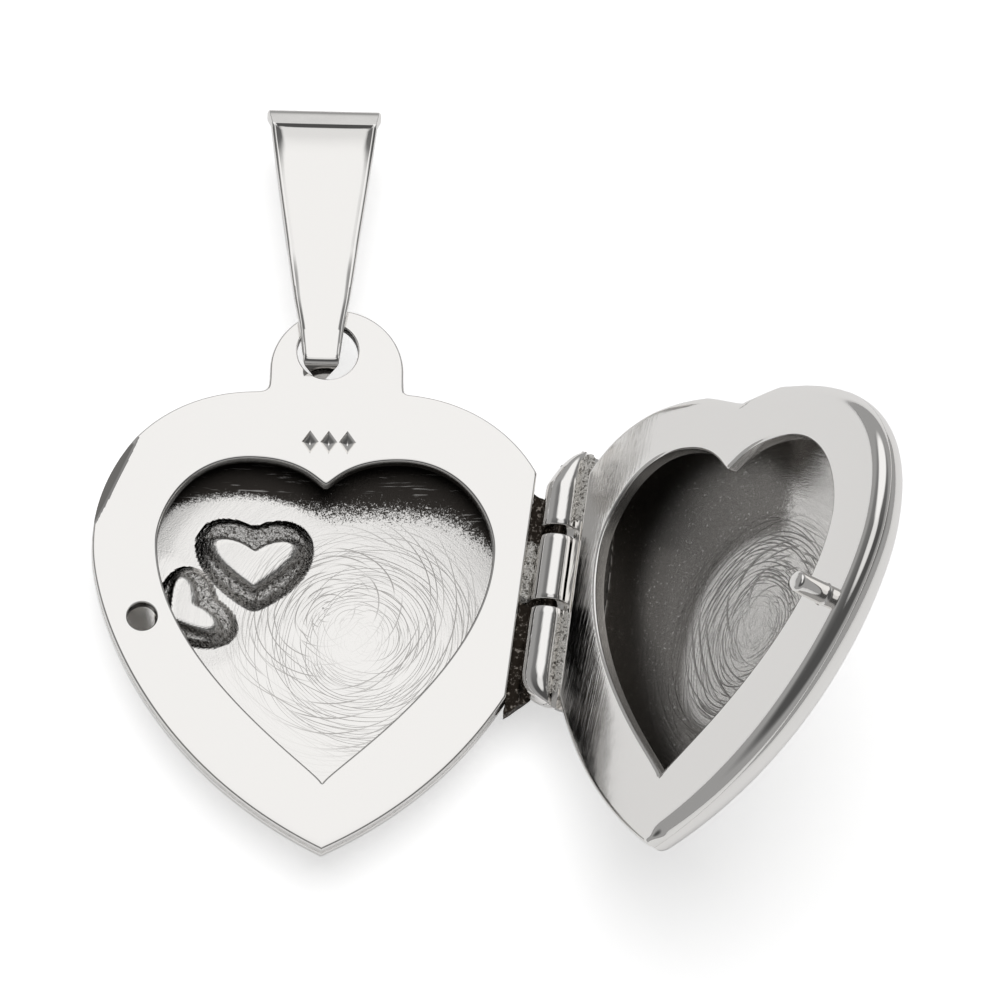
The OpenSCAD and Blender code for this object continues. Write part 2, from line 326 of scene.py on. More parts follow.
def worn_edge(d, size, side):
    """Drop of a worn shoulder that starts with a visible line and rolls over to upright. It
    fades to a small plain rounding where side is 0."""
    turn = np.radians(14 + 74 * np.linspace(0, 1, 60) ** 1.15)
    across, down = np.cumsum(np.cos(turn)), np.cumsum(np.sin(turn))
    scale = size / down[-1]
    wide = np.interp(across[-1] * scale - d, across * scale, down * scale, left=0)
    return wide * side + round_off(d, 0.2, 0.2) * (1 - side)


def outward(loop):
    """Unit normals of a closed loop, pointing out of it."""
    tangent = np.roll(loop, -1, axis=0) - np.roll(loop, 1, axis=0)
    n = np.c_[tangent[:, 1], -tangent[:, 0]]
    return n / np.linalg.norm(n, axis=1)[:, None]


def frame_plate(name, outer, inner, place, mirror, body, node, edge_drop, polish, hinge_soft):
    """A flat plate between two loops. The rounding of its edges follows the true distance to
    them, so the corners of the heart mitre as a real edge does. edge_drop gives the drop at
    distances from the outer loop, polish adds a wider, softer one, and hinge_soft is the width
    and height of the rounding at the straight hinge edge."""
    near = np.array([0, .002, .005, .009, .014, .02, .027, .035, .045, .06, .08, .105, .135])
    steps = np.r_[near, .17, .21, .25, .29, .33, np.linspace(.39, .83, 9), 1 - near[::-1]]
    rings = []
    line = HINGE_P.x * HINGE_N.x - HINGE_REACH
    for t in steps:
        xy = outer + (inner - outer) * t
        d, e = distance_to(xy, outer), distance_to(xy, inner)
        drop = edge_drop(d) + round_off(e, *WINDOW_ROUND)
        drop += polish * np.exp(-d / 0.45) + 0.012 * np.exp(-e / 0.25)
        drop = np.maximum(drop, round_off(line - xy @ np.array([HINGE_N.x, HINGE_N.y]), *hinge_soft))
        rings.append(np.c_[xy, TOP_Z - np.minimum(drop, FRAME_T - LEAST_WALL)])
    # down the window's wall, back along the underside and up the outer wall
    under = -FRAME_T + TOP_Z
    for t, dz in ((1, 0.1), (1, 0.03), (0.997, 0), (0.5, 0), (0.004, 0), (0, 0.02)):
        xy = outer + (inner - outer) * t
        rings.append(np.c_[xy, np.full(len(xy), under + dz)])
    verts, faces = loft(rings, close_loft=True)
    if mirror:
        verts = verts * FLIP
    return make_object(name, verts, faces, place, body, node, 40)


def hole_cutter(at, r, flare, depth):
    """A drilled hole with a small rounded mouth at the plate's top."""
    z = TOP_Z
    return lathe([(r, -2), (r, z - depth), (r + flare * 0.3, z - depth * 0.5),
                  (r + flare, z + 0.002), (r + flare, 1)], 96, at)


MARK_AT, MARK_STEP, MARK_STRETCH = (0.1, 6.95), 0.84, 1.45
# half width of a punch at heights from the plate's top
MARK_PROFILE = ((0.06, -0.22), (0.36, -0.02), (0.46, 0.05))


def punched_mark():
    """Three small lozenge punches side by side, each with four sloping faces."""
    n = 48
    ang = np.linspace(0, 2 * math.pi, n, endpoint=False)
    lozenge = 1 / (np.abs(np.cos(ang)) + np.abs(np.sin(ang)))
    parts = []
    for i in (-1, 0, 1):
        rings = [np.c_[MARK_AT[0] + MARK_STEP * i + r * lozenge * np.cos(ang),
                       MARK_AT[1] + r * MARK_STRETCH * lozenge * np.sin(ang), np.full(n, TOP_Z + z)]
                 for r, z in MARK_PROFILE]
        verts, faces = loft(rings)
        parts.append((verts, cap(verts, faces, n)))
    return parts


LOOP_N = 720
window_loop = closed_heart(WINDOW, LOOP_N)
front_loop = front_edge(LOOP_N)
back_loop = by_angle(hold_inside_hinge(closed_heart(EDGE, 4 * LOOP_N)), LOOP_N)
back_loop = soften(back_loop, (9.3, 6.6), 0.8, 3)
back_window_loop = by_angle(closed_heart(WINDOW, 4 * LOOP_N), LOOP_N)
# the back's shoulder is wide and worn on the side away from the hinge, but not at the tip
back_tip = back_loop[np.argmin(back_loop[:, 1])]
side = smooth_step((0.35 - outward(back_loop)[:, 0]) / 0.6)
side = side * smooth_step((np.linalg.norm(back_loop - back_tip, axis=1) - 0.35) / 0.7)
front_frame = frame_plate("front_flat_frame", front_loop, window_loop, TO_FRONT, False, "front",
                          "front_frame", lambda d: round_off(d, 0.09, 0.10), 0.05, (0.35, 0.08))
back_frame = frame_plate("back_flat_frame", back_loop, back_window_loop, TO_BACK, True, "back",
                         "back_frame", lambda d: worn_edge(d, FRAME_T - LEAST_WALL, side), 0.012,
                         (0.12, 0.06))
cut(front_frame, *hole_cutter(TAB_HOLE_AT, TAB_HOLE_R, 0.06, 0.10), TO_FRONT)
cut(front_frame, *hole_cutter(CATCH_AT, CATCH_HOLE_R, 0.06, 0.07), TO_FRONT)
for part in punched_mark():
    cut(front_frame, *part, TO_FRONT)


NICK_AT, NICK_TURN, NICK_SLOPE, NICK_HALF, NICK_REACH = (-9.3, 4.85), 156.4, 36, 2.35, 4


def nail_nick():
    """The slanted cut in the upper left edge: a box in its own slanted frame."""
    box = [(x, y, z) for x in (0, NICK_REACH) for y in (-NICK_HALF, NICK_HALF) for z in (0, NICK_REACH)]
    sides = [(0, 1, 3, 2), (4, 6, 7, 5), (0, 4, 5, 1), (2, 3, 7, 6), (0, 2, 6, 4), (1, 5, 7, 3)]
    m = (Matrix.Translation((*NICK_AT, TOP_Z)) @ Matrix.Rotation(math.radians(NICK_TURN), 4, "Z")
         @ Matrix.Rotation(math.radians(NICK_SLOPE), 4, "Y"))
    return np.array([m @ Vector(v) for v in box]), sides


cut(front_frame, *nail_nick(), TO_FRONT)
for plate in (front_frame, back_frame):
    shade(plate, 40)


# ---- shells ----

# impressed hearts: middle x, y, size, turn
HEARTS = [(-3.12, 1.75, 1.0, 0.0), (-6.1, -0.65, 0.78, -56.0)]
PRESS_H = 0.9
# their foot and crown outlines and the soft swell round them: half width, height, lift, ease
FOOT_HEART, CROWN_HEART = (2.62, 2.0, 0.62, 0.01), (2.33, 1.12, 1.2, 0.002)
SKIRT_HEART, SKIRT = (3.9, 3.5, 0, 1), 0.07
WALL_BULGE, WALL_H = 0.012, 0.42
# towards its middle a dome turns from the heart's outline to a circle of this radius
DOME_CORE_R = 8.8
# roundness of a dome's profile. The inside is fuller near the edge, for the catch pin
OUTSIDE_POWERS, INSIDE_POWERS = (2.6, 1 / 2.3), (2.2, 1 / 1.9)
# swirl middles of the polishing scratches
FRONT_SWIRL, BACK_SWIRL = (1.7, -1.3), (-0.9, -1.9)


def heart_level(x, y, half, tall, lift, ease):
    """1 in the middle of a heart, 0 on its outline, less outside."""
    x, y = x / half, y / tall
    return 1 - x * x - (y - lift * ((x * x + ease) ** (1 / 3) - ease ** (1 / 3))) ** 2


def press(p):
    """Height, from 0 to 1, of the impressed hearts, and how far a point is on their flanks."""
    height, flank = np.zeros(len(p)), np.zeros(len(p))
    for cx, cy, size, turn in HEARTS:
        a = math.radians(turn)
        dx, dy = (p[:, 0] - cx) / size, (p[:, 1] - cy) / size
        x, y = dx * math.cos(a) + dy * math.sin(a), -dx * math.sin(a) + dy * math.cos(a)
        foot = heart_level(x, y, *FOOT_HEART)
        crown = heart_level(x, y + 0.3, *CROWN_HEART)
        skirt = heart_level(x, y - 0.2, *SKIRT_HEART)
        one = 0.42 * smooth_step(foot / 0.30) + 0.58 * smooth_step(crown / 0.5)
        height = np.maximum(height, one * (1 - SKIRT) + SKIRT * smooth_step(skirt / 0.8))
        flank = np.maximum(flank, smooth_step(foot / 0.1 + 0.5) * (1 - smooth_step((crown - 0.2) / 0.3)))
    return height * PRESS_H, flank


def shell_skin(edge, rings, inset, pressed):
    """Rings of one skin of a shell, from the rim to near the middle of the dome."""
    depth = HALF_DEPTH + RIM_Z
    wide, tall = INSIDE_POWERS if inset else OUTSIDE_POWERS
    out = []
    for k in range(rings):
        turn = math.pi / 2 * k / rings
        s = math.cos(turn) + WALL_BULGE * math.sin(2 * turn) ** 0.5 * math.cos(turn) - inset / HALF_W
        share = min(1.0, s * s)
        core = edge / np.linalg.norm(edge, axis=1)[:, None] * DOME_CORE_R
        q = hold_inside_hinge(s * (edge * share + core * (1 - share)), inset)
        wall = WALL_H * smooth_step(turn / 0.35)
        z = -wall - (depth - inset - WALL_H) * (1 - math.cos(turn) ** wide) ** tall
        rise = press(q)[0] if pressed else 0
        out.append(np.c_[q, np.full(len(q), RIM_Z + z) + rise])
    return out


def shell(name, n, rings, place, mirror, body, node, pressed):
    """A domed sheet with n points round it. Its inner faces take a material of their own, and
    the attribute flank marks the sides of the impressed hearts."""
    edge = closed_heart(EDGE, n)
    outer = shell_skin(edge, rings, 0, pressed)
    inner = shell_skin(edge, rings, SHELL_T, pressed)
    verts, faces = loft(inner[::-1] + outer)
    m = len(verts)
    verts = np.vstack([verts, [[0, 0, -HALF_DEPTH + SHELL_T]], [[0, 0, -HALF_DEPTH]]])
    for i in range(n):
        j = (i + 1) % n
        faces.append((j, i, m))
        faces.append((m - n + i, m - n + j, m + 1))
    flank = press(verts)[1] if pressed else np.zeros(len(verts))
    if mirror:
        verts = verts * FLIP
    obj = make_object(name, verts, faces, place, body, node, 60)
    mark = obj.data.attributes.new("flank", "FLOAT", "POINT")
    mark.data.foreach_set("value", flank.astype(np.float32))
    inside = np.zeros(len(faces), bool)
    inside[:n * (rings - 1)] = True
    inside[n * (2 * rings - 1)::2] = True
    obj.data.polygons.foreach_set("material_index", np.where(inside, 1, 0).astype(np.int32))


shell("front_dome", 480, 110, TO_FRONT, False, "front", "front_shell", True)
shell("back_dome", 360, 60, TO_BACK, True, "back", "back_shell", False)


# ---- hinge ----

def hinge_point(across, along, up):
    """From hinge coordinates (across to +X, along the axis, up) to heart coordinates."""
    return (np.asarray(HINGE_P)[None] + np.outer(across, HINGE_N) + np.outer(along, HINGE_A)
            + np.outer(up, (0, 0, 1)))


NOSE_LEAN = (0.9, 0.25)


def knuckle(name, span, place, body, node, bore=0, nose=None, blunt=2.0):
    """A knuckle: a tube with a bore, or a closed one with a nose = (where the filed end starts,
    where it ends): a bullet nose that leans away from the front half, the rounder the smaller
    blunt is."""
    n = 64
    ang = np.linspace(0, 2 * math.pi, n, endpoint=False)
    a, b = span
    stations = [(a, -0.05), (a + 0.015, -0.02), (a + 0.05, 0)]
    stations += [(a + (b - a) * t, 0) for t in np.linspace(0.08, 0.92, 12)]
    stations += [(b - 0.05, 0), (b - 0.015, -0.02), (b, -0.05)]

    def ring(s, r):
        shrink, lean = 1.0, 0.0
        if nose:
            u = np.clip((s - nose[0]) / (nose[1] - nose[0]), 0, 0.97)
            shrink = math.sqrt(1 - u ** blunt)
            lean = (1 - shrink) * r
        across = r * shrink * np.cos(ang) + lean * NOSE_LEAN[0]
        up = r * shrink * np.sin(ang) + lean * NOSE_LEAN[1]
        return hinge_point(across, np.full(n, s), up)

    if nose:
        flip = nose[1] < nose[0]
        body_s = [(s, e) for s, e in stations if (s > nose[0] if flip else s < nose[0])]
        nose_s = [(nose[0] + (nose[1] - nose[0]) * math.sin(t), 0) for t in np.linspace(0.02, math.pi / 2, 22)]
        stations = nose_s[::-1] + body_s if flip else body_s + nose_s
    rings = [ring(s, KNUCKLE_R + e) for s, e in stations]
    if nose:
        verts, faces = loft(rings)
        faces = cap(verts, faces, n)
    else:
        verts, faces = loft([ring(a, bore)] + rings + [ring(b, bore)], close_loft=True)
    make_object(name, verts, faces, place, body, node, 50)


knuckle("middle_knuckle", (-0.7, 2.45), TO_FRONT, "front", "front_knuckle", bore=0.38)
# the back's knuckles are drawn straight in the open place, not turned with the back half
knuckle("top_knuckle", (2.9, 6.75), TO_FRONT, "back", "back_knuckle_top", nose=(4.9, 6.75), blunt=1.05)
knuckle("bottom_knuckle", (-5.55, -1.05), TO_FRONT, "back", "back_knuckle_bottom", nose=(-3.9, -5.55),
        blunt=2.6)


# Blender's noise starts from the clock unless it is seeded
GRAIN_SEED = 7
noise.seed_set(GRAIN_SEED)


def rough(p, size, amount, seed):
    """Grainy displacement of points, in all directions."""
    out = np.array(p, float)
    for i, q in enumerate(p):
        v = Vector(q) / size + Vector((seed, 0, 0))
        out[i] += np.array(noise.noise_vector(v)) * amount
    return out


def strip(name, section, span, steps, place, mirror, body, node, grain, seed, slant):
    """A bar along the hinge with a closed cross-section, given in (across, up) points. grain is
    the size and depth of its roughness, slant how far each end runs on per mm across."""
    rings = []
    sec = np.array(section, float)
    for s in np.linspace(span[0], span[1], steps):
        share = (s - span[0]) / (span[1] - span[0])
        across = sec[:, 0] + HINGE_REACH
        along = s + across * (slant[0] * (1 - share) + slant[1] * share)
        rings.append(hinge_point(sec[:, 0], along, sec[:, 1]))
    verts, faces = loft(rings)
    faces = cap(verts, faces, len(section))
    verts = rough(verts, grain[0], grain[1], seed)
    if mirror:
        verts = verts * FLIP
    make_object(name, verts, faces, place, body, node, 50)


TROUGH_FLOOR, TROUGH_R = -1.1, 0.95


def trough_section(top):
    """Cross-section of a bearer: a bar with a round trough beside the knuckles."""
    reach, floor, r = HINGE_REACH, TROUGH_FLOOR, TROUGH_R
    a0 = math.pi + math.asin(-top / r)
    a1 = math.pi + math.asin(-floor / r) if -floor < r else 1.5 * math.pi - 0.28
    arc = [(r * math.cos(t), r * math.sin(t)) for t in np.linspace(a0, a1, 14)]
    left = [(-reach, z) for z in np.linspace(floor, top, 6)]
    bottom = [(x, floor) for x in np.linspace(arc[-1][0], -reach, 5)[:-1]]
    ledge = [(x, top) for x in np.linspace(-reach, arc[0][0], 6)[1:-1]]
    return arc + bottom + left + ledge


strip("front_trough", trough_section(-0.5), (-6.0, 4.7), 90, TO_FRONT, False, "front",
      "front_hinge_bearer", (0.35, 0.07), 3, (0.95, -0.4))
strip("back_trough", trough_section(-0.06), (-5.9, 6.3), 90, TO_BACK, True, "back",
      "back_hinge_bearer", (0.6, 0.012), 5, (0.4, -0.2))


SOLDER_GRAIN, SOLDER_TOP = (0.22, 0.10), -0.035


def bead(name, spans, body, place, mirror, across, up, seed, node):
    """Lumpy runs of solder between a half and its knuckles, each as wide and high as across
    and up say."""
    verts, faces = [], []
    steps, n = 60, 14
    ang = np.linspace(0, 2 * math.pi, n, endpoint=False)
    for span in spans:
        base = sum(len(v) for v in verts)
        rings = []
        for i, s in enumerate(np.linspace(span[0], span[1], steps)):
            end = min(1, math.sqrt(min(i, steps - 1 - i) / 5 + 0.02))
            w, h = (across[1] - across[0]) / 2 * end, (up[1] - up[0]) / 2 * end
            c, u = (across[1] + across[0]) / 2, (up[1] + up[0]) / 2
            rings.append(hinge_point(c + w * np.cos(ang), np.full(n, s), u + h * np.sin(ang)))
        v, f = loft(rings)
        f = cap(v, f, n)
        v = rough(v, *SOLDER_GRAIN, seed)
        v[:, 2] = np.minimum(v[:, 2], SOLDER_TOP)
        verts.append(v)
        faces += [tuple(i + base for i in q) for q in f]
    verts = np.vstack(verts)
    if mirror:
        verts = verts * FLIP
    make_object(name, verts, faces, place, body, node, 60)


bead("back_solder", [(2.95, 6.5), (-5.2, -1.1)], "back", TO_BACK, True, (-1.5, -0.78), (-0.42, 0.02),
     11, "back_hinge_solder")
bead("front_solder", [(-0.65, 2.4)], "front", TO_FRONT, False, (-1.5, -0.8), (-0.75, -0.2), 17,
     "front_hinge_solder")


# how much shorter the post is than the CAD's, so that it clears the front dome when closed
POST_TRIM = 0.15


def post():
    """The catch pin: a small collar at its root and a rounded end."""
    end = -POST_LEN + POST_TRIM
    prof = [(POST_R, FRAME_T), (POST_R, 0.3), (POST_R + 0.06, 0.03), (POST_R + 0.05, 0.0), (POST_R, -0.06)]
    prof += [(POST_R, z) for z in np.linspace(-0.2, end + 0.2, 6)]
    prof += [(POST_R - 0.01, end + 0.12), (POST_R - 0.05, end + 0.05), (POST_R - 0.14, end + 0.01),
             (POST_R - 0.2, end), (0.12, end - 0.015), (0.01, end - 0.02)]
    verts, faces = lathe(prof, 48, CATCH_AT)
    make_object("catch_pin", verts, faces, TO_BACK, "back", "catch_post", 50)


post()


# ---- bail ----

BAIL_T, FOOT_Y, TOP_Y, CREASE_Y = 0.42, 10.34, 23.2, 22.3
FOOT_R, FOOT_BEND, BAIL_HALF = 1.05, 0.42, 1.8
# the front leaf is sunk by the scoop below its crease; above the tab it comes back out
SCOOP, SCOOP_LEN, SCOOP_END_Y = 0.34, 3.4, 13.4
# rounding of the fold's corners, height and width
CORNER_H, CORNER_W = 0.16, 0.12
# edge of the strap: bevel width on the fold and its gain on the front leaf, and how deep the
# leaf's face lies below it
BEVEL, LEAF_BEVEL, LEAF_SUNK = 0.10, 0.05, 0.055
# half widths of the front and rear leaves at heights
FRONT_WIDTHS = [(10.4, 0.8), (12.24, 1.02), (13.5, 1.26), (17.9, 1.86), (22.3, 2.44), (23.2, 2.64)]
REAR_WIDTHS = [(11.2, 0.40), (13.2, 0.95), (17.9, 1.66), (22.3, 2.2), (23.2, 2.28)]
# the tongue's end is round seen from in front and a little below
TIP_SEEN, TIP_AT, TIP_R = (0.889, 0.457), 9.82, 0.84


def bail_half_width(path):
    """Half width of the strap at points of its side path: a round-ended tongue in front,
    narrower where it passes back through the tab's hole."""
    y, z = path[:, 0], path[:, 1]
    front = np.interp(y, *zip(*FRONT_WIDTHS))
    below = np.maximum(TIP_AT - y * TIP_SEEN[0] - z * TIP_SEEN[1], 0)
    round_end = np.sqrt(np.clip(TIP_R ** 2 - below ** 2, 0.06, 1))
    front = np.where(below > 0, np.minimum(front, round_end), front)
    back = np.interp(y, *zip(*REAR_WIDTHS))
    high = smooth_step((y - 14) / 4)
    behind = smooth_step((0.5 - z) / 0.3) * (1 - high) + np.clip((1.5 - z) / 2.4, 0, 1) * high
    corner = np.clip((y - TOP_Y + CORNER_H) / CORNER_H, 0, 1)
    width = front + (np.minimum(back, front) - front) * behind
    return width - CORNER_W * (1 - np.sqrt(1 - corner ** 2))


def bail_path(inset=0.0):
    """Closed side path of the bail's outer face, in (y, z) about its middle plane: down the
    scooped front leaf, round the foot, up the plain rear leaf and over the fold. With an
    inset it is the inner face, point for point."""
    half, foot_r = BAIL_HALF - inset, FOOT_R - inset
    tight, foot = FOOT_BEND - 0.4 * inset, FOOT_Y + 0.8 * inset
    foot_y = foot + tight
    down = np.linspace(CREASE_Y, foot_y, 120)
    lean = (half - foot_r) / (CREASE_Y - foot_y)
    scoop = SCOOP * smooth_fall((CREASE_Y - down) / SCOOP_LEN) * smooth_step((down - SCOOP_END_Y) / 3)
    front = np.c_[down, foot_r + (down - foot_y) * lean - scoop]
    turn = np.linspace(0, math.pi / 2, 25)[1:]
    toe = np.c_[foot_y - tight * np.sin(turn), foot_r - tight * (1 - np.cos(turn))]
    heel = np.c_[toe[::-1, 0], -toe[::-1, 1]]
    bend = np.vstack([toe, heel, [(foot_y, -foot_r)]])
    up = np.linspace(foot_y, CREASE_Y - 0.3, 60)[1:]
    rear = np.c_[up, -foot_r - (up - foot_y) * lean]
    top = TOP_Y - inset
    corners = [rear[-1], (top - 0.1, -half + 0.9), (top, 0.6), (top - 0.03, half - 0.19),
               (CREASE_Y, half)]
    fold = [np.array(a) + (np.array(b) - np.array(a)) * t
            for a, b in zip(corners, corners[1:]) for t in np.linspace(0, 1, 13)[1:]]
    path = np.vstack([front, bend, rear, np.array(fold[:-1])])
    for _ in range(6):
        ease = (path[:, 0] > CREASE_Y - 0.5) & (np.hypot(path[:, 0] - CREASE_Y, path[:, 1] - half) > 0.1)
        mean = (np.roll(path, 1, axis=0) + np.roll(path, -1, axis=0)) / 2
        path = np.where(ease[:, None], (path + mean) / 2, path)
    return path


def smooth_fall(t):
    """0 at the crease, quickly reaching 1: the scoop below the crease."""
    t = np.clip(t, 0, 1)
    return 1 - (1 - t) ** 2.6


def bail():
    """The folded strap, lofted from lines that each follow its side path."""
    path = bail_path()
    tangent = np.roll(path, -1, axis=0) - np.roll(path, 1, axis=0)
    normal = np.c_[-tangent[:, 1], tangent[:, 0]]
    normal /= np.linalg.norm(normal, axis=1)[:, None]
    if normal[20] @ np.array([0, 1]) < 0:
        normal = -normal
    width = bail_half_width(path)
    on_leaf = smooth_step((CREASE_Y - path[:, 0]) / 0.15) * (path[:, 1] > 0)
    on_leaf = on_leaf * smooth_step((path[:, 0] - FOOT_Y - 0.05) / 0.5)

    # edges get narrower where the strap does
    share = np.clip(width / 1.6, 0.45, 1)

    def line(side, inwards, drop):
        yz = path + normal * np.reshape(drop, (-1, 1))
        return np.c_[side * np.maximum(width - inwards * share, 0.02), yz]

    # half of the section, from the side wall to the middle of the face: a small rounded edge
    # on the fold, a bevel with a soft inner foot on the front leaf
    bevel = BEVEL + LEAF_BEVEL * on_leaf
    half = [(0, -0.16), (0.015, -0.10), (0.05, -0.04), (bevel, 0 * bevel)]
    half += [(bevel * 1.4, -0.004 * on_leaf), (bevel * 2.2, -LEAF_SUNK * on_leaf)]
    outer_left = [line(-1, i, np.broadcast_to(d, len(path))) for i, d in half]
    outer_right = [line(1, i, np.broadcast_to(d, len(path))) for i, d in half[::-1]]
    middle = []
    reach = np.maximum(width - bevel * 2.2 * share, 0.02)
    for t in np.linspace(-1, 1, 13)[1:-1]:
        yz = path + normal * (-(LEAF_SUNK + 0.02 * (1 - t ** 4)) * on_leaf)[:, None]
        middle.append(np.c_[t * reach, yz])
    inside = bail_path(BAIL_T)
    edge = inside + (path - inside) * 0.12
    inner = [np.c_[width, edge], np.c_[width - 0.05, inside], np.c_[0.05 - width, inside],
             np.c_[-width, edge]]
    verts, faces = loft(outer_left + middle + outer_right + inner, close_loft=True)
    verts = verts - np.array([0, BAIL_P.y, 0])
    make_object("bail_loop", verts, faces, TO_BAIL, "bail", "bail", 30)


bail()


# ---- materials ----

class Nodes:
    """Adds nodes to a tree and joins them, with less writing."""

    def __init__(self, tree):
        self.tree = tree

    def put(self, kind, settings=None, **inputs):
        """A new node. settings are its own values, inputs what its sockets are fed."""
        node = self.tree.nodes.new(kind)
        for key, value in (settings or {}).items():
            setattr(node, key, value)
        for key, value in inputs.items():
            self.feed(node.inputs[key.replace("_", " ")], value)
        return node

    def feed(self, socket, value):
        """Links the socket to an output, or sets it to a plain value."""
        if hasattr(value, "is_output"):
            self.tree.links.new(value, socket)
        elif value is not None:
            socket.default_value = value

    def math(self, op, *values, clamp=False):
        node = self.put("ShaderNodeMath", {"operation": op, "use_clamp": clamp})
        for socket, value in zip(node.inputs, values):
            self.feed(socket, value)
        return node.outputs[0]

    def vector(self, op, *values):
        node = self.put("ShaderNodeVectorMath", {"operation": op})
        for socket, value in zip(node.inputs, values):
            self.feed(socket, value)
        return node.outputs["Value" if op in ("DOT_PRODUCT", "LENGTH", "DISTANCE") else "Vector"]

    def ramp(self, value, low, high, to_low=0.0, to_high=1.0, smooth=True):
        """to_low at low and below, to_high at high and above."""
        kind = "SMOOTHSTEP" if smooth else "LINEAR"
        node = self.put("ShaderNodeMapRange", {"interpolation_type": kind})
        for socket, v in zip(node.inputs, (value, low, high, to_low, to_high)):
            self.feed(socket, v)
        return node.outputs[0]

    def mix(self, factor, a, b):
        node = self.put("ShaderNodeMix", {"data_type": "RGBA"})
        self.feed(node.inputs[0], factor)
        self.feed(node.inputs[6], a)
        self.feed(node.inputs[7], b)
        return node.outputs[2]


def heart_coords(t, body):
    """Millimetres in the closed heart's frame, from the object's own coordinates."""
    place = {"front": TO_FRONT, "back": TO_BACK, "bail": TO_BAIL}[body].inverted()
    obj = t.put("ShaderNodeTexCoord").outputs["Object"]
    m = t.put("ShaderNodeMapping", {"vector_type": "POINT"}, Vector=obj)
    m.inputs["Scale"].default_value = (1 / MM,) * 3
    m.inputs["Rotation"].default_value = place.to_euler()
    m.inputs["Location"].default_value = place.translation
    return m.outputs["Vector"]


def metal(name, base, roughness, body, build):
    """A metal whose colour, roughness and relief are then fed by build."""
    mat = bpy.data.materials.new(name)
    mat.use_nodes = True
    shader = mat.node_tree.nodes["Principled BSDF"]
    shader.inputs["Base Color"].default_value = (*base, 1)
    shader.inputs["Metallic"].default_value = 1
    shader.inputs["Roughness"].default_value = roughness
    t = Nodes(mat.node_tree)
    build(t, shader, heart_coords(t, body))
    return mat


SILVER = (0.90, 0.885, 0.865)
# dark colour of scratches and pits, also the painted shade on the dull part of the back dome
TARNISH_AND_SHADE = (0.13, 0.118, 0.106)
# the painted shade at the top of the front dome, under the frame above the window: heights over
# which it comes in, and the unshaded patch it leaves round the larger heart
SHADE_BAND_Y = (4.1, 4.8)
UNSHADED_AT, UNSHADED_R = (-3.6, 1.5), (5.0, 3.5)


def stretched(t, at, turn, scale):
    """Coordinates turned about Z and then scaled, for streaks."""
    node = t.put("ShaderNodeMapping", Vector=at)
    node.inputs["Rotation"].default_value = (0, 0, turn)
    node.inputs["Scale"].default_value = scale
    return node.outputs["Vector"]


def noise_at(t, at, scale, detail=2.0, roughness=0.5, kind="Fac"):
    node = t.put("ShaderNodeTexNoise", {"noise_dimensions": "3D"}, Vector=at, Scale=scale,
                 Detail=detail, Roughness=roughness)
    return node.outputs[kind]


def bump(t, shader, height, depth_mm, below=None):
    """Relief on top of the normal below, joined to the shader if one is given."""
    node = t.put("ShaderNodeBump", Strength=1.0, Distance=depth_mm * MM, Height=height)
    if below:
        t.feed(node.inputs["Normal"], below)
    if shader:
        t.feed(shader.inputs["Normal"], node.outputs["Normal"])
    return node.outputs["Normal"]


def scratch_arcs(t, at, middle, per_mm, seed, width):
    """Fine circular scratches about a middle: 1 on a scratch, 0 off it, and the distance from
    the middle. Each ring of them starts and stops at random round the middle."""
    shift = t.vector("SUBTRACT", at, (middle[0], middle[1], 0))
    drift = noise_at(t, t.vector("ADD", at, (seed * 7.1, 0, 0)), 0.13, 0, kind="Color")
    wander = t.vector("SUBTRACT", drift, (0.5, 0.5, 0.5))
    moved = t.vector("ADD", shift, t.vector("MULTIPLY", wander, (SCRATCH_WANDER, SCRATCH_WANDER, 0)))
    split = t.put("ShaderNodeSeparateXYZ", Vector=moved)
    x, y = split.outputs["X"], split.outputs["Y"]
    r = t.math("SQRT", t.math("ADD", t.math("MULTIPLY", x, x), t.math("MULTIPLY", y, y)))
    safe = t.math("MAXIMUM", r, 0.05)
    ring = t.math("MULTIPLY", r, per_mm)
    off_line = t.math("ABSOLUTE", t.math("SUBTRACT", t.math("FRACT", ring), 0.5))
    line = t.ramp(off_line, width * 0.35, width, 1.0, 0.0)
    where = t.put("ShaderNodeCombineXYZ", X=t.math("MULTIPLY", t.math("FLOOR", ring), 1.73),
                  Y=t.math("MULTIPLY", t.math("DIVIDE", x, safe), 0.9),
                  Z=t.math("MULTIPLY_ADD", t.math("DIVIDE", y, safe), 0.9, seed * 3.7)).outputs["Vector"]
    return t.math("MULTIPLY", line, t.ramp(noise_at(t, where, 1.0, 1.0, 0.5), 0.44, 0.62)), r


# middle and scratches per mm of the families of scratches, from the swirl's own middle
SWEEPS = ((0, 0, 6.1), (-0.3, 0.25, 4.7), (0.25, -0.3, 7.3), (-1.5, 1.3, 3.1))
# the span in mm over which scratches stray from true circles, and the distances from the
# middle over which they fade out and come in
SCRATCH_WANDER, SWIRL_END, SWIRL_CORE = 2.2, (4.4, 6.2), (0.6, 2.6)
# how dark a scratch is, the colour of the painted shade under the window's top, and the streaks that break
# that shade up
SCRATCH_DARK, SHADE_BAND_COLOUR = 0.62, (0.045, 0.040, 0.036, 1)
STREAK_TURN, STREAK_SCALE = -0.35, (0.5, 7.0, 1.0)


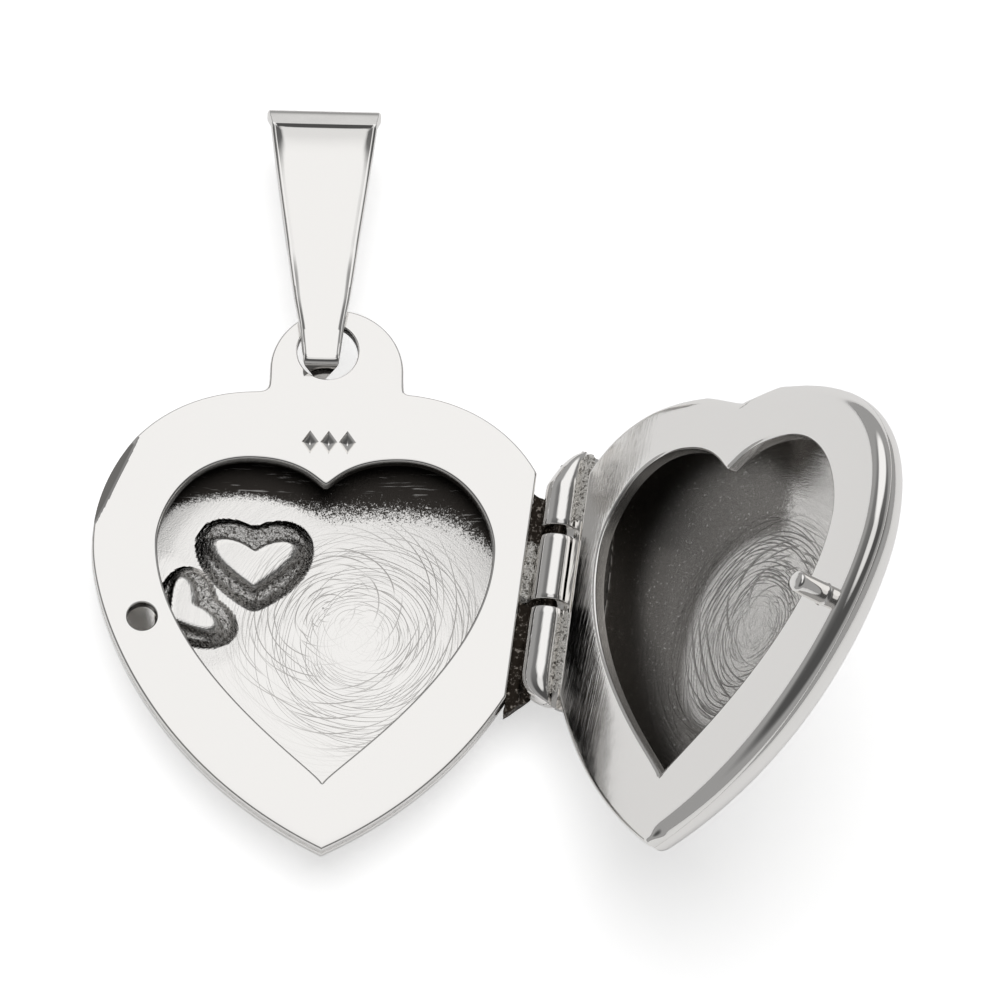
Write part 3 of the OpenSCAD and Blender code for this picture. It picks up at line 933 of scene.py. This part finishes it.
def cavity(t, shader, at, swirl, depth, grain_depth, dull_shading, top_shade, pitch_share=1.0, width=0.11):
    """Pressed inside face: grainy, with swirls of polishing scratches. depth and grain_depth
    are in mm, dull is how dark the painted shade is on the unpolished part outside the swirl,
    and band how dark the painted shade at the top of the dome is."""
    arcs = [scratch_arcs(t, at, (swirl[0] + dx, swirl[1] + dy), pitch * pitch_share, k + 1, width)
            for k, (dx, dy, pitch) in enumerate(SWEEPS)]
    total, reach = arcs[0]
    for lines, _ in arcs[1:]:
        total = t.math("MAXIMUM", total, lines)
    near = t.ramp(reach, *SWIRL_END, 1.0, 0.10)
    core = t.ramp(reach, *SWIRL_CORE, 0.15, 1.0)
    lines = t.math("MULTIPLY", t.math("MULTIPLY", total, near), core)
    flank = t.put("ShaderNodeAttribute", {"attribute_name": "flank"}).outputs["Fac"]
    grain = noise_at(t, at, 15.0, 3, 0.7)
    coarse = noise_at(t, at, 5.0, 3, 0.65)
    rough_h = t.math("ADD", t.math("MULTIPLY", grain, t.math("MULTIPLY_ADD", flank, 2.0, 1.0)),
                     t.math("MULTIPLY", coarse, t.math("MULTIPLY", flank, 16.0)))
    below = bump(t, None, rough_h, grain_depth)
    bump(t, shader, t.math("MULTIPLY", lines, -1.0), depth, below)
    place = t.put("ShaderNodeSeparateXYZ", Vector=at).outputs
    jitter = t.math("ADD", t.math("MULTIPLY_ADD", grain, 2.6, -1.3),
                    t.math("MULTIPLY_ADD", coarse, 1.2, -0.6))
    pits = t.ramp(noise_at(t, at, 7.0, 3, 0.75), 0.49, 0.60)
    dirt_and_shade = t.math("MAXIMUM", t.math("MULTIPLY", lines, SCRATCH_DARK), t.math("MULTIPLY", pits, flank))
    # painted shade: outside the swirl, towards the hinge, the colour is darkened; the roughness raised there
    # below is the unpolished metal
    dull_shaded_part = t.math("MULTIPLY", t.math("MULTIPLY", t.ramp(reach, 4.0, 5.0), dull_shading),
                       t.ramp(t.math("ADD", place["X"], jitter), -2.4, -1.2))
    specks = t.ramp(noise_at(t, at, 8.0, 2, 0.6), 0.62, 0.70, 1.0, 0.4)
    dirt_and_shade = t.math("MAXIMUM", dirt_and_shade, t.math("MULTIPLY", dull_shaded_part, specks))
    # painted shade under the top of the window, where the frame hangs over the dome, outside an unshaded patch
    # round the larger heart
    beyond = t.math("MAXIMUM", t.math("SUBTRACT", t.math("ABSOLUTE", place["X"]), 3.0), 0.0)
    height = t.math("MULTIPLY_ADD", t.math("POWER", beyond, 3.0), 0.02, place["Y"])
    upper = t.ramp(t.math("MULTIPLY_ADD", jitter, 1.3, height), *SHADE_BAND_Y)
    inside = t.vector("DIVIDE", t.vector("SUBTRACT", at, (*UNSHADED_AT, 0)), (*UNSHADED_R, 1e6))
    ring = t.ramp(t.math("MULTIPLY_ADD", jitter, 0.12, t.vector("LENGTH", inside)), 1.0, 1.09)
    top = t.math("MULTIPLY", t.math("MULTIPLY", upper, ring), top_shade)
    # streaks break up the painted shade
    streaks = noise_at(t, stretched(t, at, STREAK_TURN, STREAK_SCALE), 1.0, 2, 0.6)
    patchy = t.ramp(streaks, 0.60, 0.68, 1.0, 0.72)
    top = t.math("MULTIPLY", top, patchy)
    # scratches, pits and painted shade over silver, then the painted shade under the window's top
    colour = t.mix(dirt_and_shade, (*SILVER, 1), (*TARNISH_AND_SHADE, 1))
    t.feed(shader.inputs["Base Color"], t.mix(top, colour, SHADE_BAND_COLOUR))
    unpolished = t.math("MULTIPLY", t.math("MAXIMUM", dull_shaded_part, top), 0.25)
    t.feed(shader.inputs["Roughness"],
           t.math("ADD", t.math("MULTIPLY_ADD", grain, 0.04, 0.045), unpolished))


# file marks beside the hinge: their turn and stretch, and the x over which they come in
FILE_TURN, FILE_SCALE, FILE_X = 0.12, (7.0, 0.35, 2.0), (4.0, 6.5)


def polished(t, shader, at, wave=0.02, dark_spots=(), brushed=0.0):
    """Polished metal: nearly a mirror, softly uneven by wave mm. dark_spots are (x, y, reach,
    tone) where the sides of a cut are painted darker: painted shade in the holes, a darker
    grey-brown face in the nail nick. brushed is the depth of file marks on the hinge side."""
    swell = noise_at(t, at, 0.35, 1, 0.5)
    orange = noise_at(t, at, 2.4, 2, 0.5)
    below = bump(t, None, swell, wave)
    below = bump(t, None, orange, 0.0008, below)
    place = t.put("ShaderNodeSeparateXYZ", Vector=at).outputs
    if brushed:
        marks = noise_at(t, stretched(t, at, FILE_TURN, FILE_SCALE), 1.0, 3, 0.65)
        marks = t.math("MULTIPLY", marks, t.ramp(place["X"], *FILE_X))
        below = bump(t, None, marks, brushed, below)
    t.feed(shader.inputs["Normal"], below)
    colour = (*SILVER, 1)
    edge = t.math("MULTIPLY", t.ramp(place["Z"], TOP_Z - 0.13, TOP_Z - 0.05, 1.0, 0.0),
                  t.ramp(place["Z"], TOP_Z - FRAME_T, TOP_Z - FRAME_T + 0.04))
    flat = t.put("ShaderNodeCombineXYZ", X=place["X"], Y=place["Y"]).outputs["Vector"]
    # painted shade on the walls of the holes, and the nick's darker face
    for x, y, reach, tone in dark_spots:
        near = t.ramp(t.vector("DISTANCE", flat, (x, y, 0)), reach, reach + 0.15, 1.0, 0.0)
        colour = t.mix(t.math("MULTIPLY", near, edge), colour, (tone * 1.03, tone, tone * 0.96, 1))
    t.feed(shader.inputs["Base Color"], colour)
    t.feed(shader.inputs["Roughness"], t.math("MULTIPLY_ADD", orange, 0.05, 0.05))


def grainy(t, shader, at):
    """Solder left as it set: bright and lumpy, dark in its hollows."""
    lumps = noise_at(t, at, 6.5, 3, 0.65)
    hollow = t.ramp(lumps, 0.36, 0.5, 0.85, 0.0)
    t.feed(shader.inputs["Base Color"], t.mix(hollow, (0.86, 0.84, 0.80, 1), (0.09, 0.075, 0.06, 1)))
    t.feed(shader.inputs["Roughness"], t.math("MULTIPLY_ADD", hollow, 0.3, 0.2))
    bump(t, shader, lumps, 0.12)


def aged(t, shader, at):
    """Unpolished metal down in the hinge: brown-black, rough, with worn specks."""
    patchy = t.ramp(noise_at(t, at, 5.0, 4, 0.7), 0.52, 0.66)
    t.feed(shader.inputs["Base Color"], t.mix(patchy, (0.035, 0.028, 0.022, 1), (0.30, 0.27, 0.24, 1)))
    t.feed(shader.inputs["Roughness"], t.math("MULTIPLY_ADD", patchy, -0.2, 0.5))
    bump(t, shader, noise_at(t, at, 6.0, 4, 0.7), 0.03)


# sides of the tab's hole and the catch hole, with painted shade, and the nail nick's darker face: x, y, reach,
# tone
FRONT_DARK = [(*TAB_HOLE_AT, TAB_HOLE_R + 0.3, 0.05), (*CATCH_AT, CATCH_HOLE_R + 0.1, 0.12),
              (-10.3, 4.6, 2.6, 0.42)]
polished_front = metal("polished_silver_front", SILVER, 0.08, "front",
                       partial(polished, dark_spots=FRONT_DARK))
polished_back = metal("polished_silver_back", SILVER, 0.08, "back",
                      partial(polished, wave=0.003, brushed=0.004))
polished_bail = metal("polished_silver_bail", SILVER, 0.08, "bail", polished)
cavity_front = metal("pressed_silver_front", SILVER, 0.2, "front",
                     partial(cavity, swirl=FRONT_SWIRL, depth=0.0025, grain_depth=0.007, dull_shading=0.0,
                             top_shade=1.0))
cavity_back = metal("pressed_silver_back", SILVER, 0.2, "back",
                    partial(cavity, swirl=BACK_SWIRL, depth=0.018, grain_depth=0.012, dull_shading=0.8,
                            top_shade=0.0, pitch_share=0.85, width=0.16))
aged_front = metal("aged_silver_front", TARNISH_AND_SHADE, 0.5, "front", aged)
solder_front = metal("grainy_solder_front", SILVER, 0.3, "front", grainy)
solder_back = metal("grainy_solder_back", SILVER, 0.3, "back", grainy)

# the materials of each piece: on the domes, the outside and then the pressed inside
LOOKS = {
    "front_dome": (polished_front, cavity_front), "back_dome": (polished_back, cavity_back),
    "front_flat_frame": (polished_front,), "back_flat_frame": (polished_back,),
    "middle_knuckle": (polished_front,), "top_knuckle": (polished_back,),
    "bottom_knuckle": (polished_back,), "catch_pin": (polished_back,),
    "front_trough": (aged_front,), "back_trough": (polished_back,),
    "bail_loop": (polished_bail,), "front_solder": (solder_front,), "back_solder": (solder_back,),
    "hinge_pin": (aged_front,),
}
for obj in bpy.data.objects:
    if obj.type == "MESH" and not obj.hide_render:
        marks = np.zeros(len(obj.data.polygons), np.int32)
        obj.data.polygons.foreach_get("material_index", marks)
        obj.data.materials.clear()
        for look in LOOKS[obj.name]:
            obj.data.materials.append(look)
        obj.data.polygons.foreach_set("material_index", np.minimum(marks, len(LOOKS[obj.name]) - 1))


# ---- floor, light and camera ----

def grey(v):
    return (v, v, v, 1)


# brightness of the room, and half angles in degrees over which its lights fade: a high softbox
# behind the locket, a ceiling light, dim walls, and a lighter band below ROOM_LOW_AT degrees
SOFTBOX_AT = Vector((0.03, 0.57, 0.82)).normalized()
SOFTBOX = 0.98
SOFTBOX_HALF = (20, 31)
CEILING, CEILING_HALF = 0.80, (12, 24)
ROOM_FRONT, ROOM_BACK, ROOM_LEFT, ROOM_RIGHT = 0.08, 0.20, 0.20, 0.16
ROOM_LOW, ROOM_LOW_AT = 0.34, (24, 42)


def room():
    """The soft studio that the metal reflects. The camera itself sees plain white."""
    world = bpy.data.worlds.new("world")
    bpy.context.scene.world = world
    world.use_nodes = True
    t = Nodes(world.node_tree)
    way = t.put("ShaderNodeTexCoord").outputs["Generated"]
    split = t.put("ShaderNodeSeparateXYZ", Vector=way)
    x, y = split.outputs["X"], split.outputs["Y"]
    sides = t.ramp(x, -0.8, 0.8, ROOM_LEFT, ROOM_RIGHT)
    darker_front = t.ramp(y, -0.5, 0.6, ROOM_FRONT - ROOM_BACK, 0)
    wall = t.math("MAXIMUM", t.math("ADD", sides, darker_front), ROOM_FRONT)
    low = [math.sin(math.radians(a)) for a in ROOM_LOW_AT]
    above = t.ramp(split.outputs["Z"], *low)
    wall = t.math("ADD", t.math("MULTIPLY", above, wall),
                  t.math("MULTIPLY", t.math("SUBTRACT", 1.0, above), ROOM_LOW))
    box = t.vector("DOT_PRODUCT", way, tuple(SOFTBOX_AT))
    edge = [math.cos(math.radians(a)) for a in SOFTBOX_HALF]
    lit = t.ramp(box, edge[1], edge[0])
    rim = [math.cos(math.radians(a)) for a in CEILING_HALF]
    over = t.ramp(split.outputs["Z"], rim[1], rim[0])
    wall = t.math("MAXIMUM", wall, t.math("MULTIPLY", over, CEILING))
    unlit = t.math("SUBTRACT", 1.0, lit)
    value = t.math("ADD", t.math("MULTIPLY", lit, SOFTBOX), t.math("MULTIPLY", unlit, wall))
    seen = t.put("ShaderNodeLightPath").outputs["Is Camera Ray"]
    colour = t.mix(seen, value, grey(1.0))
    t.feed(world.node_tree.nodes["Background"].inputs["Color"], colour)


room()


FLOOR_GREY, FLOOR_GLOW, FLOOR_GLOW_SEEN = 0.9, 0.10, 0.50


def floor():
    """A plain pale floor, lifted towards white where the camera sees it."""
    bpy.ops.mesh.primitive_plane_add(size=4, location=(0, 0, 0))
    obj = bpy.context.object
    obj.name = "floor"
    mat = bpy.data.materials.new("floor")
    mat.use_nodes = True
    s = mat.node_tree.nodes["Principled BSDF"]
    s.inputs["Base Color"].default_value = grey(FLOOR_GREY)
    s.inputs["Roughness"].default_value = 0.9
    s.inputs["Specular IOR Level"].default_value = 0.0
    s.inputs["Emission Color"].default_value = grey(1.0)
    t = Nodes(mat.node_tree)
    seen = t.put("ShaderNodeLightPath").outputs["Is Camera Ray"]
    t.feed(s.inputs["Emission Strength"], t.ramp(seen, 0, 1, FLOOR_GLOW, FLOOR_GLOW_SEEN, smooth=False))
    obj.data.materials.append(mat)


floor()


LAMP_SIZE, LAMP_WATTS, LAMP_AT = 0.55, 1.15, (-0.02, 0.09, 0.5)


def floor_lamp():
    """A wide lamp for the floor and its soft shadow. Its own shape isn't seen in the metal."""
    light = bpy.data.lights.new("floor_lamp", "AREA")
    light.shape = "DISK"
    light.size = LAMP_SIZE
    light.energy = LAMP_WATTS
    obj = bpy.data.objects.new("floor_lamp", light)
    bpy.context.collection.objects.link(obj)
    obj.location = LAMP_AT
    obj.rotation_euler = (-obj.location).to_track_quat("-Z", "Y").to_euler()
    obj.visible_glossy = False


floor_lamp()

# the camera: the directions behind it and to its right, where it looks from the heart's middle
# and from how far, in millimetres, and its lens
CAMERA_BACK = Vector((-0.04526, -0.37789, 0.92475))
CAMERA_RIGHT = Vector((0.99876, 0.0022, 0.04978))
CAMERA_LOOK, CAMERA_FAR, CAMERA_LENS = Vector((7.72, 3.56, 1.83)), 300, 242.4
camera_data = bpy.data.cameras.new("camera")
camera = bpy.data.objects.new("camera", camera_data)
bpy.context.collection.objects.link(camera)
axes = Matrix((CAMERA_RIGHT, CAMERA_BACK.cross(CAMERA_RIGHT), CAMERA_BACK)).transposed()
camera.matrix_world = (Matrix.Translation((HEART + CAMERA_LOOK + CAMERA_BACK * CAMERA_FAR) * MM)
                       @ axes.to_4x4())
camera_data.lens = CAMERA_LENS
camera_data.clip_start = 0.01
camera_data.clip_end = 20
bpy.context.scene.camera = camera
bpy.context.scene.view_settings.view_transform = "Standard"
